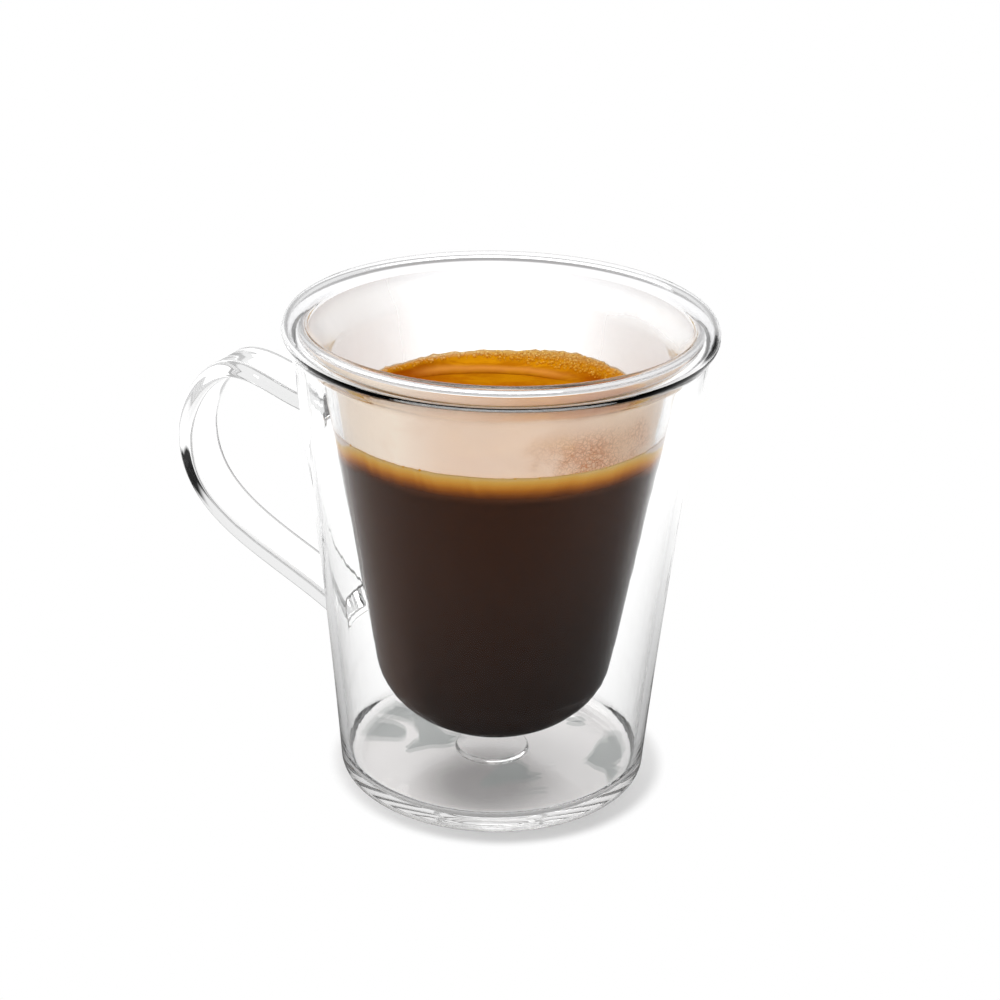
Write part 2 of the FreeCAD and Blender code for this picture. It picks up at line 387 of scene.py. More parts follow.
def strap_line():
    """Close points along the strap's middle line, in the plane of the handle."""
    half = HANDLE_THICKNESS / 2
    sunk = OUTER_WALL / 2
    crest_level = MUG_HEIGHT - HANDLE_CREST_DROP
    root_level = MUG_HEIGHT - HANDLE_ROOT_DROP
    tip = Vector((HANDLE_TIP_RADIUS - half, crest_level - HANDLE_TIP_DROP))
    crest = Vector((tip.x - HANDLE_CREST_SETBACK, crest_level - half))
    inwards = heading(-math.cos(HANDLE_LOW_SLOPE), -math.sin(HANDLE_LOW_SLOPE))
    outwards, down = heading(1, 0), heading(0, -1)
    top_root = Vector((wall_radius(root_level) - sunk, root_level))
    low_root = Vector((wall_radius(HANDLE_LOW_ROOT) - sunk, HANDLE_LOW_ROOT))
    return joined(
        run(top_root - outwards * half, top_root, 80),
        blend(top_root, outwards, crest, outwards, STRAP_RISE_PULL, 400),
        blend(crest, outwards, tip, down, STRAP_TURN_PULL, 400),
        blend(tip, down, low_root, inwards, STRAP_RETURN_PULL, 400),
        run(low_root, low_root + inwards * half, 80),
    )


def strap_corner(corner):
    """Centre of one of the four rounded edges of the strap's section."""
    side_across = 1 if corner % 4 in (0, 3) else -1
    side_up = 1 if corner % 4 < 2 else -1
    return Vector((
        side_across * (HANDLE_WIDTH / 2 - HANDLE_EDGE),
        side_up * (HANDLE_THICKNESS / 2 - HANDLE_EDGE),
    ))


def strap_section():
    """Points round the strap's section with their outward normals: across, up, and both again."""
    points, normals = [], []
    round_steps, wide_steps, thin_steps = 8, 10, 2
    for corner in range(4):
        centre = strap_corner(corner)
        for i in range(round_steps + 1):
            angle = math.radians(90 * corner + 90 * i / round_steps)
            normal = Vector((math.cos(angle), math.sin(angle)))
            points.append(centre + normal * HANDLE_EDGE)
            normals.append(normal)
        start = points[-1]
        normal = normals[-1]
        goal = strap_corner(corner + 1) + normal * HANDLE_EDGE
        count = thin_steps if corner % 2 else wide_steps
        for i in range(1, count):
            points.append(start.lerp(goal, i / count))
            normals.append(normal)
    return points, normals


def weld_swell(gap):
    """How far the strap swells out near the wall, by its distance from the wall."""
    near = np.clip(gap + 0.1 * HANDLE_WELD, 0.1 * HANDLE_WELD, HANDLE_WELD)
    return HANDLE_WELD - np.sqrt(HANDLE_WELD**2 - (HANDLE_WELD - near)**2)


def strap():
    """The handle as a closed body whose ends lie inside the outer wall's glass."""
    line = np.array([tuple(place) for place in strap_line()])
    steps = np.linalg.norm(np.diff(line, axis=0), axis=1)
    along = np.concatenate([[0], np.cumsum(steps)])
    tangent = np.gradient(line, along, axis=0)
    tangent /= np.linalg.norm(tangent, axis=1)[:, None]
    upward = np.stack([-tangent[:, 1], tangent[:, 0]], axis=1)
    # Rings through the weld, closer together where it swells out most
    levels = np.array([-0.5, -0.3, -0.12, 0.1, 0.18, 0.28, 0.4, 0.55, 0.75, 1.0, 1.3]) * HANDLE_WELD
    middle = len(line) // 2
    free_rings = 150
    streams = []
    for point, normal in zip(*strap_section()):
        radial = line[:, 0] + upward[:, 0] * point.y
        height = line[:, 1] + upward[:, 1] * point.y
        reach = np.hypot(radial, point.x)
        gap = reach - np.array([wall_radius(level) for level in height])
        start = np.interp(levels, gap[:middle], along[:middle])
        end = np.interp(levels, gap[:middle:-1], along[:middle:-1])[::-1]
        free = np.linspace(start[-1], end[0], free_rings + 2)[1:-1]
        stops = np.concatenate([start, free, end])
        swell = weld_swell(np.interp(stops, along, gap))
        across = point.x + normal.x * swell
        lift = point.y + normal.y * swell
        middle_r = np.interp(stops, along, line[:, 0])
        middle_z = np.interp(stops, along, line[:, 1])
        up_r = np.interp(stops, along, upward[:, 0])
        up_z = np.interp(stops, along, upward[:, 1])
        placed_r = middle_r + up_r * lift
        streams.append(np.stack([-placed_r, across, middle_z + up_z * lift], axis=1))
    rings = np.array(streams).transpose(1, 0, 2)
    count, width = rings.shape[:2]
    places = [tuple(place) for ring in rings for place in ring]
    faces = [list(range(width)), list(range((count - 1) * width, count * width))]
    for i in range(count - 1):
        for j in range(width):
            after = (j + 1) % width
            near, far = i * width, (i + 1) * width
            faces.append([near + j, near + after, far + after, far + j])
    made = piece("strap", places, faces)
    face_outwards(made)
    return made


def make_glass():
    """Walls and strap melted into one body, with the sealed space inside."""
    body = piece("walls", *turned(outside_profile()))
    face_outwards(body)
    handle = strap()
    weld = body.modifiers.new("weld", "BOOLEAN")
    weld.operation = "UNION"
    weld.solver = "EXACT"
    weld.object = handle
    made = evaluated(body, "mug_glass")
    bpy.data.objects.remove(handle)
    hollow = piece("hollow", *turned(air_space_profile()))
    face_outwards(hollow, inwards=True)
    work = bmesh.new()
    work.from_mesh(made.data)
    work.from_mesh(hollow.data)
    work.to_mesh(made.data)
    work.free()
    bpy.data.objects.remove(hollow)
    made.data.polygons.foreach_set("use_smooth", [True] * len(made.data.polygons))
    return made


# --------------------------------------------------------------------- drink

def make_coffee():
    """The drink, reaching just into the vessel's wall so that no air shows between them."""
    profile = joined(
        vessel_wall(COFFEE_LEVEL, -INTO_WALL),
        run(vessel_point(COFFEE_LEVEL, -INTO_WALL), Vector((0, COFFEE_LEVEL)), 6),
    )
    made = piece("coffee_body", *turned(profile))
    face_outwards(made)
    return made


def towards_viewer(x, y):
    """Turns a place so that the first value runs to the viewer's right and the second away."""
    across = x * math.cos(FRONT_TURN) + y * math.sin(FRONT_TURN)
    away = y * math.cos(FRONT_TURN) - x * math.sin(FRONT_TURN)
    return across, away


def foam_climb(x, y):
    """How high the foam clings to the glass at a place on its edge, higher at the back right."""
    across, away = towards_viewer(x, y)
    reach = math.hypot(x, y)
    back = max(0.0, away / reach)
    right = max(0.0, across / reach)
    lobes = noise.noise(Vector((x, y, 0)) / (3.2 * MM))
    crumbs = noise.noise(Vector((x, y, 4)) / (1.1 * MM))
    clung = FOAM_CLIMB + FOAM_CLIMB_BACK * back + FOAM_CLIMB_RIGHT * ramped(right, 0.1, 0.5) * back
    return clung * (1 + 0.16 * lobes + 0.12 * crumbs)


def foam_relief(x, y):
    """Shallow rings and swells in the foam's top."""
    across, away = towards_viewer(x, y)
    ring = math.hypot(across - FOLD_CENTRE[0], away - FOLD_CENTRE[1])
    fold = math.exp(-((ring - FOLD_RADIUS) / (0.7 * MM)) ** 2)
    swell = noise.noise(Vector((across / (9 * MM), away / (4 * MM), 2.0)))
    fine = noise.noise(Vector((across / (2.2 * MM), away / (1.2 * MM), 7.0)))
    return (-0.35 * fold + 0.22 * swell + 0.06 * fine) * MM


def make_crema():
    """The foam layer: a side inside the glass wall, a ragged raised edge and a rippled top."""
    rings = 96
    edge = vessel_point(CREMA_LEVEL, -INTO_WALL).x
    places, faces = [], []
    places.append((0.0, 0.0, CREMA_LEVEL + foam_relief(0.0, 0.0)))
    for i in range(1, rings + 1):
        share = 1 - (1 - i / rings) ** 1.5
        for k in range(TURNS):
            angle = 2 * math.pi * k / TURNS
            x, y = edge * math.cos(angle), edge * math.sin(angle)
            climb = foam_climb(x, y)
            inset = (1 - share) * edge
            lift = climb * math.exp(-inset / (0.45 * climb + 0.35 * MM))
            flare = vessel_slope() * lift * (1 if i == rings else share)
            reach = edge * share + flare
            level = CREMA_LEVEL + lift + foam_relief(x * share, y * share) * (1 - share**12)
            places.append((reach * math.cos(angle), reach * math.sin(angle), level))
    for k in range(TURNS):
        faces.append([0, 1 + k, 1 + (k + 1) % TURNS])
    for i in range(rings - 1):
        near, far = 1 + i * TURNS, 1 + (i + 1) * TURNS
        for k in range(TURNS):
            after = (k + 1) % TURNS
            faces.append([near + k, far + k, far + after, near + after])
    side_steps = 8
    top_ring = 1 + (rings - 1) * TURNS
    before = top_ring
    for i in range(1, side_steps + 1):
        start = len(places)
        for k in range(TURNS):
            angle = 2 * math.pi * k / TURNS
            top = places[top_ring + k][2]
            level = top + (COFFEE_LEVEL - top) * i / side_steps
            reach = vessel_point(level, -INTO_WALL).x
            places.append((reach * math.cos(angle), reach * math.sin(angle), level))
        for k in range(TURNS):
            after = (k + 1) % TURNS
            faces.append([before + k, start + k, start + after, before + after])
        before = start
    faces.append(list(range(before, before + TURNS)))
    made = piece("crema_layer", places, faces)
    face_outwards(made)
    return made


# ------------------------------------------------------------------ moisture

def make_fog():
    """A film of mist on the glass, from the foam up into the flare of the lip."""
    flare = vessel_point(FLARE_LEVEL, 0)
    lip, along_lip = bead_point(LIP_TURN), -bead_heading(LIP_TURN)
    curve = blend(flare, heading(vessel_slope(), 1), lip, along_lip, FLARE_PULL, 24)
    points = joined(run(vessel_point(CREMA_LEVEL - 0.5 * MM, 0), flare, 24), curve)
    places, faces = turned([Vector((point.x - MIST_FILM, point.y)) for point in points])
    return piece("breath_fog", places, faces)


# ------------------------------------------------------------- node builder

class Field:
    """A value in a node tree, on one output socket, that Python's operators work on."""

    def __init__(self, graph, socket):
        self.graph = graph
        self.socket = socket

    def __add__(self, other):
        return self.graph.maths("ADD", self, other)

    def __sub__(self, other):
        return self.graph.maths("SUBTRACT", self, other)

    def __rsub__(self, other):
        return self.graph.maths("SUBTRACT", other, self)

    def __mul__(self, other):
        return self.graph.maths("MULTIPLY", self, other)

    def __truediv__(self, other):
        return self.graph.maths("DIVIDE", self, other)

    def __pow__(self, other):
        return self.graph.maths("POWER", self, other)

    __radd__ = __add__
    __rmul__ = __mul__

    def also(self, output):
        """Another output of the same node."""
        return Field(self.graph, self.socket.node.outputs[output])


class Graph:
    """A shader or geometry tree being drawn up."""

    def __init__(self, tree):
        self.tree = tree

    def node(self, kind, settings=None, inputs=None, output=0):
        """Adds a node: its settings first, then its sockets' values or links."""
        made = self.tree.nodes.new(kind)
        for name, value in (settings or {}).items():
            if name == "stops":
                self.set_stops(made.color_ramp, value)
            else:
                setattr(made, name, value)
        for name, value in (inputs or {}).items():
            if isinstance(value, Field):
                self.tree.links.new(value.socket, made.inputs[name])
            else:
                made.inputs[name].default_value = value
        return Field(self, made.outputs[output]) if len(made.outputs) else made

    @staticmethod
    def set_stops(ramp, stops):
        while len(ramp.elements) < len(stops):
            ramp.elements.new(1.0)
        for element, (place, colour) in zip(ramp.elements, stops):
            element.position = place
            element.color = colour

    def maths(self, operation, first, second=0.0):
        return self.node("ShaderNodeMath", {"operation": operation}, {0: first, 1: second})

    def vector(self, operation, first, second, output=0):
        inputs = {0: first, 1: second}
        return self.node("ShaderNodeVectorMath", {"operation": operation}, inputs, output)

    def scaled(self, vector, factor):
        inputs = {0: vector, "Scale": factor}
        return self.node("ShaderNodeVectorMath", {"operation": "SCALE"}, inputs)

    def mixed(self, share, first, second):
        """A colour between two colours."""
        settings = {"data_type": "RGBA", "clamp_factor": True}
        return self.node("ShaderNodeMix", settings, {0: share, 6: first, 7: second}, 2)

    def ramp(self, share, *stops):
        """Colours that follow each other as a share goes from 0 to 1."""
        return self.node("ShaderNodeValToRGB", {"stops": stops}, {"Fac": share})

    def rise(self, value, low, high):
        """0 below low, 1 above high and smooth between them; falls where low is above high."""
        inputs = {"Value": value, 1: low, 2: high, 3: 0.0, 4: 1.0}
        if low > high:
            inputs = {"Value": value, 1: high, 2: low, 3: 1.0, 4: 0.0}
        settings = {"interpolation_type": "SMOOTHSTEP"}
        return self.node("ShaderNodeMapRange", settings, inputs)

    def band(self, value, middle, half):
        """1 at the middle of a band and 0 beyond its half width."""
        away = self.maths("ABSOLUTE", value - middle)
        return self.rise(away, half, 0.0)

    def cloud(self, place, scale, detail=3.0, roughness=0.5, distortion=0.0):
        """Smooth noise about 0.5; scale is how many features fit in a metre."""
        inputs = {"Vector": place, "Scale": scale, "Detail": detail}
        inputs.update({"Roughness": roughness, "Distortion": distortion})
        return self.node("ShaderNodeTexNoise", {}, inputs)

    def cell_edges(self, place, scale):
        """How far a place lies from the edges of a net of cells, in parts of a cell."""
        settings = {"feature": "DISTANCE_TO_EDGE"}
        return self.node("ShaderNodeTexVoronoi", settings, {"Vector": place, "Scale": scale})

    def level_place(self, across, away):
        """A place on the level plane, as the viewer sees it."""
        return self.node("ShaderNodeCombineXYZ", {}, {0: across, 1: away})

    def distance(self, place, centre):
        return self.vector("DISTANCE", place, centre, "Value")

    def from_axis(self, across, away):
        """Distance from the mug's axis."""
        return self.maths("SQRT", across * across + away * away)

    def bump(self, height, depth):
        """A normal pushed in and out by a height from 0 to 1, over a depth in metres."""
        return self.node("ShaderNodeBump", {}, {"Height": height, "Distance": depth})

    def surface(self, inputs):
        """The general shader, with its sockets' values or links."""
        return self.node("ShaderNodeBsdfPrincipled", {}, inputs)

    def glow(self, strength):
        """White light given off evenly."""
        return self.node("ShaderNodeEmission", {}, {"Strength": strength})

    def between(self, share, first, second):
        """A shader between two shaders."""
        return self.node("ShaderNodeMixShader", {}, {0: share, 1: first, 2: second})

    def together(self, first, second):
        """Two shaders' light added up."""
        return self.node("ShaderNodeAddShader", {}, {0: first, 1: second})


def rgb(red, green, blue):
    """A scene colour from a colour's usual 0 to 255 values."""
    return (*[((c / 255 + 0.055) / 1.055) ** 2.4 if c > 10 else c / 255 / 12.92
              for c in (red, green, blue)], 1.0)


def finish(name, draw):
    """A material whose tree is drawn by a function of its graph that returns the shader."""
    material = bpy.data.materials.new(name)
    material.use_nodes = True
    material.node_tree.nodes.clear()
    graph = Graph(material.node_tree)
    graph.node("ShaderNodeOutputMaterial", {}, {"Surface": draw(graph)})
    return material


def place_of(graph):
    """Object coordinates, and the same turned to the viewer: right, away and up."""
    place = graph.node("ShaderNodeTexCoord", {}, {}, "Object")
    x = graph.node("ShaderNodeSeparateXYZ", {}, {0: place})
    y = x.also("Y")
    across = x * math.cos(FRONT_TURN) + y * math.sin(FRONT_TURN)
    away = y * math.cos(FRONT_TURN) - x * math.sin(FRONT_TURN)
    return place, across, away, x.also("Z")


def wear(made, material):
    made.data.materials.clear()
    made.data.materials.append(material)


# ----------------------------------------------------------------- scattering

def scatter(name, carrier, material, sizes, crowd, flatness, seed):
    """Small round bodies strewn over a carrier by its "crowd" attribute, as one plain mesh."""
    tree = bpy.data.node_groups.new(name, "GeometryNodeTree")
    graph = Graph(tree)
    interface = tree.interface
    interface.new_socket("Carrier", in_out="INPUT", socket_type="NodeSocketGeometry")
    knobs = {"Smallest": sizes[0], "Largest": sizes[1], "Crowd": crowd, "Flatness": flatness}
    sockets = {}
    for label in knobs:
        sockets[label] = interface.new_socket(label, in_out="INPUT", socket_type="NodeSocketFloat")
    interface.new_socket("Bodies", in_out="OUTPUT", socket_type="NodeSocketGeometry")
    given = graph.node("NodeGroupInput", {}, {}, "Carrier")
    share = graph.node("GeometryNodeInputNamedAttribute", {"data_type": "FLOAT"}, {"Name": "crowd"})
    strewn = {"Mesh": given, "Density": given.also("Crowd") * share, "Seed": seed}
    points = graph.node("GeometryNodeDistributePointsOnFaces", {}, strewn)
    luck = graph.node("FunctionNodeRandomValue", {"data_type": "FLOAT"}, {"Seed": seed + 1}, 1)
    smallest = given.also("Smallest")
    size = smallest + (given.also("Largest") - smallest) * luck ** 3.0
    height = size * given.also("Flatness")
    scale = graph.node("ShaderNodeCombineXYZ", {}, {0: size, 1: size, 2: height})
    ball = graph.node("GeometryNodeMeshUVSphere", {}, {"Segments": 8, "Rings": 5, "Radius": 1.0})
    placed = {"Points": points, "Instance": ball, "Scale": scale}
    placed["Rotation"] = points.also("Rotation")
    strewn_balls = graph.node("GeometryNodeInstanceOnPoints", {}, placed)
    real = graph.node("GeometryNodeRealizeInstances", {}, {0: strewn_balls})
    dressed = graph.node("GeometryNodeSetMaterial", {}, {"Geometry": real, "Material": material})
    graph.node("NodeGroupOutput", {}, {"Bodies": dressed})
    modifier = carrier.modifiers.new(name, "NODES")
    modifier.node_group = tree
    for label, value in knobs.items():
        modifier[sockets[label].identifier] = value
    made = evaluated(carrier, name)
    made.data.polygons.foreach_set("use_smooth", [True] * len(made.data.polygons))
    return made


def crowded(made, name, share_at):
    """A copy of a piece that carries, at each of its points, how crowded it is there."""
    mesh = made.data.copy()
    carrier = bpy.data.objects.new(name, mesh)
    bpy.context.scene.collection.objects.link(carrier)
    shares = [share_at(vertex.co) for vertex in mesh.vertices]
    mesh.attributes.new("crowd", "FLOAT", "POINT").data.foreach_set("value", shares)
    return carrier


def bubble_share(place):
    """Bubbles crowd along the foam's edge, most at the back right."""
    across, away = towards_viewer(place.x, place.y)
    reach = math.hypot(across, away)
    inwards = vessel_point(place.z, 0).x - reach
    back = ramped(away / max(reach, MM), -0.3, 0.8)
    right = ramped(across / max(reach, MM), -0.2, 0.4)
    width = (0.4 + 0.5 * back + 2.3 * back * right) * MM
    along_edge = ramped(inwards, width, 0.3 * width)
    inside_wall = ramped(inwards, -0.02 * MM, 0.12 * MM)
    return along_edge * inside_wall * (0.25 + 0.75 * back)


def dew_share(place):
    """Drops gather low in the mist, most at the viewer's right."""
    across, away = towards_viewer(place.x, place.y)
    turn = math.degrees(math.atan2(across, -away))
    low = ramped(place.z, FLARE_LEVEL + 1 * MM, FLARE_LEVEL - 4 * MM)
    patch = ramped(abs(turn - 30), 22, 6) * low
    strewn = ramped(abs(turn), 100, 60) * ramped(place.z, FLARE_LEVEL + 3 * MM, FLARE_LEVEL)
    return patch + 0.10 * strewn


# ----------------------------------------------------------------- materials

def clear_for_lamps(graph, shader, share):
    """Lets a share of the light through to what is behind the glass as if it were not bent."""
    shadow = graph.node("ShaderNodeLightPath", {}, {}, "Is Shadow Ray")
    diffuse = shadow.also("Is Diffuse Ray")
    straight = graph.node("ShaderNodeBsdfTransparent", {}, {"Color": (share, share, share, 1)})
    passing = graph.maths("MAXIMUM", shadow, diffuse)
    return graph.between(passing, shader, straight)


def draw_clear_glass(graph):
    """Blown heat-proof glass: clear, with the faint waves of hand work."""
    place, across, away, up = place_of(graph)
    waves = graph.cloud(place, 55.0, 2.0)
    draw_marks = graph.cloud(graph.vector("MULTIPLY", place, (260.0, 260.0, 18.0)), 1.0, 2.0)
    drawn = graph.rise(up, 6 * MM, 16 * MM)
    height = 0.5 + drawn * (waves * 0.8 + draw_marks * 0.2 - 0.5)
    reach = graph.from_axis(across, away)
    in_rim = graph.rise(reach, RIM_RADIUS - 5.8 * MM, RIM_RADIUS - 5.0 * MM)
    rim_bead = in_rim * graph.rise(up, MUG_HEIGHT - 6.0 * MM, MUG_HEIGHT - 4.8 * MM)
    # Painted shade: the rolled rim's glass is greyed all round except at its front.
    rim_shade_share = graph.rise(away, -34 * MM, -16 * MM)
    rim_painted_shade = graph.mixed(rim_shade_share, (0.985, 0.985, 0.985, 1), (0.92, 0.92, 0.925, 1))
    # Painted shade in the bottom: the glass below the air space is a little grey, the base inside
    # the foot greyer, darkest in a painted shadow of the drink in front of its middle, with darker
    # grey patches strewn over it.
    low = graph.rise(up, FLOOR_THICKNESS + 1.2 * MM, FLOOR_THICKNESS + 0.8 * MM)
    base = low * graph.rise(reach, 30 * MM, 27 * MM)
    flat = graph.level_place(across, away)
    patch_noise = graph.cloud(flat, 62.0, 2.0, 0.5, 0.6)
    grey_patches = graph.rise(patch_noise, 0.56, 0.59) * graph.rise(reach, 5 * MM, 8 * MM)
    shade = graph.rise(graph.distance(flat, BASE_SHADE_CENTRE), 18 * MM, 5 * MM)
    base_painted_shade = graph.mixed(shade, (0.86, 0.842, 0.836, 1), (0.47, 0.455, 0.452, 1))
    base_shade_and_patches = graph.mixed(grey_patches, base_painted_shade, (0.44, 0.455, 0.448, 1))
    foot_shade = graph.mixed(low, (0.996, 0.997, 0.997, 1), (0.955, 0.948, 0.944, 1))
    clear = graph.mixed(base, foot_shade, base_shade_and_patches)
    inputs = {
        "Base Color": graph.mixed(rim_bead, clear, rim_painted_shade),
        "Roughness": 0.0,
        "IOR": 1.47,
        "Specular Tint": (0.45, 0.45, 0.45, 1),
        "Transmission Weight": 1.0,
        "Normal": graph.bump(height, 0.08 * MM),
    }
    return clear_for_lamps(graph, graph.surface(inputs), share=0.97)


def foam_side(graph, across, away, reach, up, wobble):
    """The foam's colours at the glass, from its pale edge down to the dark coffee, and how much
    of them shows.  The colours sag at both sides of the viewer's front, where mist lies over them."""
    flank = graph.rise(graph.maths("ABSOLUTE", across / reach), 0.78, 0.99)
    sag = flank * graph.rise(away / reach, 0.22, -0.12) * FOAM_SAG
    sunk = CREMA_LEVEL + FOAM_TOP - up - sag + (wobble - 0.5) * (1.7 * MM)
    depth = sunk / (CREMA_THICKNESS + FOAM_TOP)
    colours = graph.ramp(
        depth,
        (0.0, rgb(228, 194, 132)),
        (0.22, rgb(228, 176, 84)),
        (0.42, rgb(216, 148, 58)),
        (0.62, rgb(180, 108, 36)),
        (0.82, rgb(132, 74, 31)),
        (1.0, rgb(92, 52, 27)),
    )
    mist_and_painted_light = graph.rise(depth, 0.06, -0.10) * graph.rise(sag, 0.3 * MM, 1.0 * MM)
    return graph.mixed(mist_and_painted_light, colours, rgb(226, 208, 196)), graph.rise(depth, 1.16, 0.96)


def draw_coffee(graph):
    """Near-black coffee that warms towards the foam."""
    place, across, away, up = place_of(graph)
    mottle = graph.cloud(place, 120.0, 3.0)
    # Painted light: the coffee grows paler towards the viewer's left, as if lit from there; it also
    # grows paler higher up, towards the foam.
    paler_up_and_lit_left = graph.rise(up + across * -0.5, 10 * MM, 76 * MM)
    dark = graph.mixed(mottle, rgb(24, 11, 5), rgb(32, 16, 9))
    lifted = graph.mixed(paler_up_and_lit_left, dark, rgb(60, 34, 20))
    reach = graph.from_axis(across, away) + 0.1 * MM
    # Painted sheen: the viewer's left flank is painted a pale grey-brown.
    flank = graph.rise(across / reach, -0.5, -1.0)
    mist_and_painted_light = graph.mixed(flank, lifted, rgb(86, 66, 56))
    mixing = up + (mottle - 0.5) * (1.4 * MM)
    near_foam = graph.rise(mixing, COFFEE_LEVEL - 1.6 * MM, COFFEE_LEVEL)
    warmed = graph.mixed(near_foam, mist_and_painted_light, rgb(82, 47, 27))
    foam, shown = foam_side(graph, across, away, reach, up, mottle)
    inputs = {
        "Base Color": graph.mixed(shown, warmed, foam),
        "Roughness": 0.25,
        "IOR": 1.34,
        "Specular IOR Level": 0.1,
    }
    return graph.surface(inputs)


def foam_edge_colour(graph, across, up, patches):
    """Yellow where the foam starts to climb the glass, paler towards its edge, most at the left."""
    height = up - CREMA_LEVEL - graph.rise(across, 4 * MM, 16 * MM) * (0.6 * MM)
    climbed = graph.rise(height + (patches - 0.5) * (0.8 * MM), 1.1 * MM, 2.1 * MM)
    pale = graph.ramp(
        across / (50 * MM) + 0.5,
        (0.15, rgb(250, 232, 196)),
        (0.5, rgb(240, 200, 110)),
        (0.85, rgb(226, 180, 100)),
    )
    return graph.mixed(climbed, rgb(226, 156, 12), pale)


def draw_crema(graph):
    """Golden foam: streaked, folded and browned on top, with a pale edge that turns dark
    towards the coffee at the side."""
    place, across, away, up = place_of(graph)
    flat = graph.level_place(across, away)
    drift = graph.cloud(graph.vector("MULTIPLY", flat, (70.0, 260.0, 0.0)), 1.0, 4.0, 0.6, 0.8)
    patches = graph.cloud(place, 85.0, 3.0, 0.55, 0.6)
    grain = graph.cloud(place, 900.0, 2.0)
    ring = graph.distance(flat, FOLD_CENTRE)
    fold = graph.band(ring + (drift - 0.5) * (1.2 * MM), FOLD_RADIUS, 0.7 * MM)
    middle = graph.rise(graph.maths("ABSOLUTE", across + 1.5 * MM), 19 * MM, 10 * MM)
    behind_fold = ring + (patches - 0.5) * (1.2 * MM)
    peach = graph.band(behind_fold, FOLD_RADIUS + 2.1 * MM, 2.2 * MM) * middle
    golden = graph.mixed(graph.rise(patches, 0.38, 0.62), rgb(190, 120, 4), rgb(168, 92, 2))
    beyond = graph.rise(ring, FOLD_RADIUS + 2 * MM, FOLD_RADIUS + 5 * MM)
    lighter = graph.mixed(beyond, golden, rgb(222, 146, 8))
    streaked = graph.mixed(graph.rise(drift, 0.44, 0.66) * 0.8, lighter, rgb(172, 88, 2))
    wandering = across - 1 * MM + (patches - 0.5) * (14 * MM)
    flanks = graph.rise(graph.maths("ABSOLUTE", wandering), 10 * MM, 20 * MM)
    ragged_ring = ring + (patches - 0.5) * (3 * MM)
    this_side = graph.rise(ragged_ring, FOLD_RADIUS + 8 * MM, FOLD_RADIUS + 4 * MM)
    browned = graph.mixed(flanks * this_side * 0.9, streaked, rgb(150, 56, 0))
    toned = graph.mixed(peach * 0.85, browned, rgb(220, 142, 62))
    lined = graph.mixed(fold * middle * 0.8, toned, rgb(120, 46, 1))
    reach = graph.from_axis(across, away)
    wall = (up - CREMA_LEVEL) * vessel_slope() + vessel_point(CREMA_LEVEL, 0).x
    inwards = wall - reach
    right = graph.rise(across + away, 10 * MM, 40 * MM)
    edge_width = 0.7 * MM + right * (1.1 * MM) + patches * (0.8 * MM)
    edge = graph.rise(inwards / edge_width, 1.2, 0.2)
    edged = graph.mixed(edge * 0.9, lined, foam_edge_colour(graph, across, up, patches))
    top = graph.mixed(grain * 0.2, edged, rgb(232, 160, 24))
    side = foam_side(graph, across, away, reach, up, drift)[0]
    at_wall = graph.rise(inwards, 0.1 * MM, -0.02 * MM)
    inputs = {
        "Base Color": graph.mixed(at_wall, top, side),
        "Roughness": 0.42,
        "IOR": 1.36,
        "Specular IOR Level": 0.0,
        "Normal": graph.bump(grain * 0.5 + drift * 0.5, 0.15 * MM),
    }
    return graph.surface(inputs)


def draw_bubble(graph):
    """Pale skins of foam bubbles."""
    place, across, _, up = place_of(graph)
    tint = graph.cloud(place, 400.0, 2.0)
    foam = foam_edge_colour(graph, across, up, tint)
    inputs = {
        "Base Color": graph.mixed(tint * 0.3, foam, rgb(240, 196, 100)),
        "Roughness": 0.18,
        "IOR": 1.33,
        "Specular IOR Level": 0.25,
        "Coat Weight": 0.25,
    }
    return graph.surface(inputs)


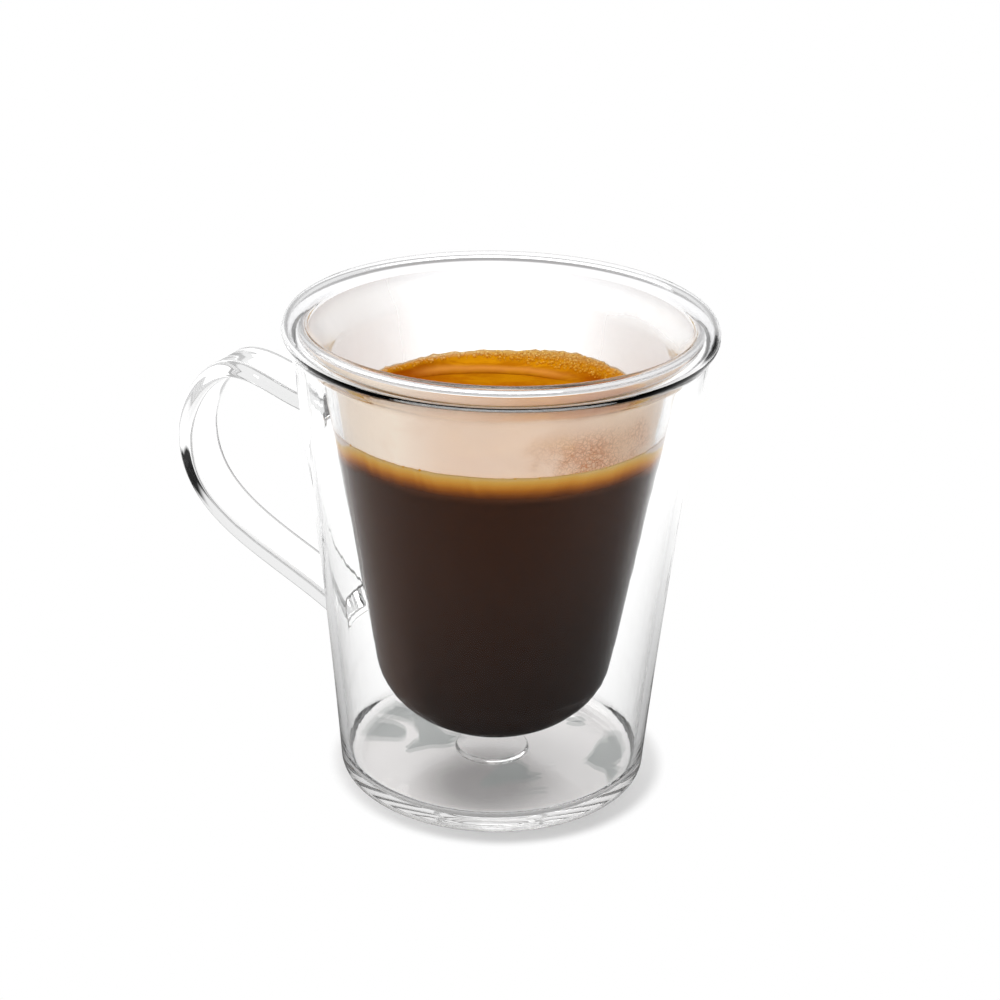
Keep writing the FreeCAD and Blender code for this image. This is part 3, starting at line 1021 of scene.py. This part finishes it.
def draw_fog(graph):
    """Breath-like mist on the glass, thick on the side that faces the viewer and thin on the
    far side, worn into fine crackled patches on the right."""
    place, across, away, up = place_of(graph)
    clouding = graph.cloud(place, 95.0, 4.0, 0.6, 0.4)
    fine = graph.cloud(place, 1350.0, 3.0, 0.6, 1.8)
    reach = graph.from_axis(across, away)
    front = away / reach * -1.0
    right = across / reach
    cloudy_up = up + (clouding - 0.5) * (3 * MM)
    thinned = graph.rise(cloudy_up, FLARE_LEVEL + 1.0 * MM, FLARE_LEVEL + 3.0 * MM)
    top = 1 - thinned * graph.rise(right, -0.4, 0.25) * 0.42
    facing = graph.rise(front, -0.2, 0.6)
    back = graph.rise(graph.maths("ABSOLUTE", right), 0.2, 0.95)
    cover = facing * 0.70 + 0.04 + back * 0.55
    patch = graph.band(right + (clouding - 0.5) * 0.8, 0.60, 0.46)
    ragged_up = up + (clouding - 0.5) * (8 * MM)
    worn = patch * graph.rise(ragged_up, FLARE_LEVEL + 1 * MM, FLARE_LEVEL - 6.4 * MM) * facing
    push = graph.scaled(graph.cloud(place, 700.0, 1.0).also("Color"), 1.2 * MM)
    net = graph.rise(graph.cell_edges(graph.vector("ADD", place, push), 1050.0), 0.15, 0.03)
    crackle = graph.maths("MAXIMUM", graph.rise(fine, 0.52, 0.44) * 0.7, net)
    alpha = top * cover * (1.0 - worn * (crackle * 0.55 + 0.06)) * (0.92 + clouding * 0.16)
    turned_tint = graph.rise(right, 0.0, 0.7) * 0.5 + worn * 0.4 + (clouding - 0.5)
    near_tint = graph.mixed(turned_tint, rgb(253, 236, 218), rgb(212, 178, 148))
    # Painted shade: the mist on the far side is a shaded grey.
    tint = graph.mixed(graph.rise(front, 0.2, -0.05), near_tint, rgb(196, 192, 190))
    inputs = {
        "Base Color": tint,
        # Painted light: the mist glows in its own tint, for the light that passes through it.
        "Emission Color": tint,
        "Emission Strength": 0.22,
        "Roughness": 0.7,
        "Specular IOR Level": 0.2,
        "Alpha": alpha,
        "Normal": graph.bump(fine, 0.03 * MM),
    }
    return graph.surface(inputs)


def draw_dew(graph):
    """Clear water."""
    place = place_of(graph)[0]
    inputs = {
        "Base Color": (1, 1, 1, 1),
        "Roughness": 0.0,
        "IOR": 1.33,
        "Transmission Weight": 1.0,
        "Normal": graph.bump(graph.cloud(place, 2500.0, 1.0), 0.01 * MM),
    }
    return clear_for_lamps(graph, graph.surface(inputs), share=0.98)


# -------------------------------------------------------------------- camera

def set_camera():
    """A long lens close to the mug, looking down on it, with a slight tilt to the right."""
    aim = TO_RIGHT * CAMERA_AIM_RIGHT + Vector((0, 0, CAMERA_AIM_HEIGHT))
    forward = AHEAD * math.cos(CAMERA_DOWN) - Vector((0, 0, math.sin(CAMERA_DOWN)))
    upward = TO_RIGHT.cross(forward)
    camera_right = TO_RIGHT * math.cos(CAMERA_ROLL) + upward * math.sin(CAMERA_ROLL)
    camera_up = upward * math.cos(CAMERA_ROLL) - TO_RIGHT * math.sin(CAMERA_ROLL)
    data = bpy.data.cameras.new("camera")
    data.sensor_width = CAMERA_SENSOR
    data.lens = CAMERA_LENS
    data.clip_start = 0.01
    camera = bpy.data.objects.new("camera", data)
    rows = Matrix((camera_right, camera_up, -forward)).transposed()
    camera.matrix_world = Matrix.Translation(aim - forward * CAMERA_DISTANCE) @ rows.to_4x4()
    bpy.context.scene.collection.objects.link(camera)
    bpy.context.scene.camera = camera


# ---------------------------------------------------------------------- room

def room_light(graph, past_glass, facing, in_rim):
    """How bright the room looks, and to which light.  Past glass and inside the thick rim it is
    as given; mirrored on a glass face it is dimmer, most of all towards the viewer's side."""
    camera = graph.node("ShaderNodeLightPath", {}, {}, "Is Camera Ray")
    passed = camera.also("Transmission Depth")
    inside_rim = graph.band(passed, 2.0, 1.4) * in_rim
    mirrored = graph.rise(camera.also("Glossy Depth"), 0.0, 1.0) * (1 - inside_rim)
    in_mirror = graph.rise(facing, 0.0, 0.9) * 0.9 + 0.02
    bright = past_glass * (1 - mirrored * (1 - in_mirror))
    seen = graph.maths("MAXIMUM", camera.also("Is Glossy Ray"), camera.also("Is Transmission Ray"))
    return camera, seen, bright


def dark_corner(graph, towards):
    """1 where a direction points at the room's dark corner."""
    return graph.rise(towards, 0.955, 0.985)


def draw_floor(graph):
    """A white table: bright to the eye, with the mug's soft shadow kept close to the foot."""
    _, across, away, _ = place_of(graph)
    reach = graph.from_axis(across, away) + 1 * MM
    nearby = graph.rise(reach, 700 * MM, 450 * MM)
    corner = (across * math.sin(CORNER_TURN) + away * math.cos(CORNER_TURN)) / reach
    table = graph.rise(away, -160 * MM, -70 * MM) * 0.7 + 0.3
    unlit = dark_corner(graph, corner) * graph.rise(reach, 190 * MM, 270 * MM)
    past_glass = (nearby * table + (1 - nearby) * 0.5) * (1 - unlit * 0.97)
    facing = (away + 20 * MM) / (200 * MM)
    camera, seen, bright = room_light(graph, past_glass, facing, in_rim=0.55)
    white = graph.node("ShaderNodeBsdfDiffuse", {}, {"Color": (0.8, 0.8, 0.8, 1)})
    dimmed = graph.between(bright, graph.glow(0.0), graph.together(white, graph.glow(0.35)))
    underneath = graph.together(white, graph.glow(0.08))
    from_shadow = graph.distance(graph.level_place(across, away), FOOT_SHADOW_CENTRE)
    open_table = graph.rise(
        from_shadow, FOOT_SHADOW_RADIUS, FOOT_SHADOW_RADIUS + FOOT_SHADOW_EDGE
    )
    to_eye = graph.between(open_table, underneath, graph.glow(1.0))
    return graph.between(seen, graph.between(camera, white, to_eye), dimmed)


def set_floor():
    """The white table, which isn't part of the object."""
    near, far = -FLOOR_REACH, FLOOR_REACH
    corners = [(near, near, 0), (far, near, 0), (far, far, 0), (near, far, 0)]
    floor = piece("floor", corners, [[0, 1, 2, 3]], smooth=False)
    wear(floor, finish("table_white", draw_floor))


def set_sky():
    """An even white sky; through glass it looks dimmer low down and on the viewer's side."""
    world = bpy.data.worlds.new("studio")
    bpy.context.scene.world = world
    world.use_nodes = True
    world.node_tree.nodes.clear()
    graph = Graph(world.node_tree)
    direction = graph.node("ShaderNodeTexCoord", {}, {}, "Generated")
    up = graph.node("ShaderNodeSeparateXYZ", {}, {0: direction}, "Z")
    to_corner = TO_RIGHT * math.sin(CORNER_TURN) + AHEAD * math.cos(CORNER_TURN)
    facing = graph.vector("DOT_PRODUCT", direction, AHEAD, "Value")
    corner = graph.vector("DOT_PRODUCT", direction, to_corner, "Value")
    low = graph.rise(up, 0.26, 0.10)
    high = graph.rise(facing, -0.1, 0.6) * 0.35 + 0.55
    past_glass = low * (0.5 - dark_corner(graph, corner) * 0.485) + (1 - low) * high
    camera, seen, bright = room_light(graph, past_glass, facing, in_rim=0.85)
    strength = camera + (1 - camera) * (seen * bright + (1 - seen) * 0.85)
    sky = graph.node("ShaderNodeBackground", {}, {"Color": (1, 1, 1, 1), "Strength": strength})
    graph.node("ShaderNodeOutputWorld", {}, {"Surface": sky})


def set_lamp():
    """One broad soft lamp, high behind the mug on the left."""
    lamp = bpy.data.lights.new("soft_lamp", "AREA")
    lamp.shape = "RECTANGLE"
    lamp.size = LAMP_WIDTH
    lamp.size_y = LAMP_DEPTH
    lamp.energy = LAMP_POWER
    holder = bpy.data.objects.new("soft_lamp", lamp)
    turn = (LAMP_AIM - LAMP_PLACE).to_track_quat("-Z", "Y").to_matrix()
    holder.matrix_world = Matrix.Translation(LAMP_PLACE) @ turn.to_4x4()
    bpy.context.scene.collection.objects.link(holder)


def let_light_travel():
    """Enough turns for light to cross two walls, be mirrored in the rim and come back out."""
    cycles = bpy.context.scene.cycles
    cycles.max_bounces = 32
    cycles.transmission_bounces = 32
    cycles.glossy_bounces = 24
    cycles.transparent_max_bounces = 24


# ------------------------------------------------------------------ assembly

glass = make_glass()
wear(glass, finish("clear_glass", draw_clear_glass))
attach(glass, "root")
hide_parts("glass_mug")

coffee = make_coffee()
wear(coffee, finish("coffee", draw_coffee))
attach(coffee, "root")
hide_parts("coffee")

crema = make_crema()
wear(crema, finish("crema", draw_crema))
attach(crema, "root")
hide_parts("crema")

fog = make_fog()
wear(fog, finish("breath_fog", draw_fog))
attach(fog, "root")

skins = finish("bubble_skin", draw_bubble)
bubbles = scatter("crema_bubbles", crowded(crema, "foam_edge", bubble_share), skins,
                  BUBBLE_SIZES, BUBBLE_CROWD, flatness=0.8, seed=11)
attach(bubbles, "root")

water = finish("dew", draw_dew)
dew = scatter("dew_drops", crowded(fog, "misted_glass", dew_share), water,
              DROP_SIZES, DROP_CROWD, flatness=0.45, seed=23)
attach(dew, "root")

set_floor()
set_sky()
set_lamp()
set_camera()
let_light_travel()
bpy.context.scene.view_settings.view_transform = "Standard"
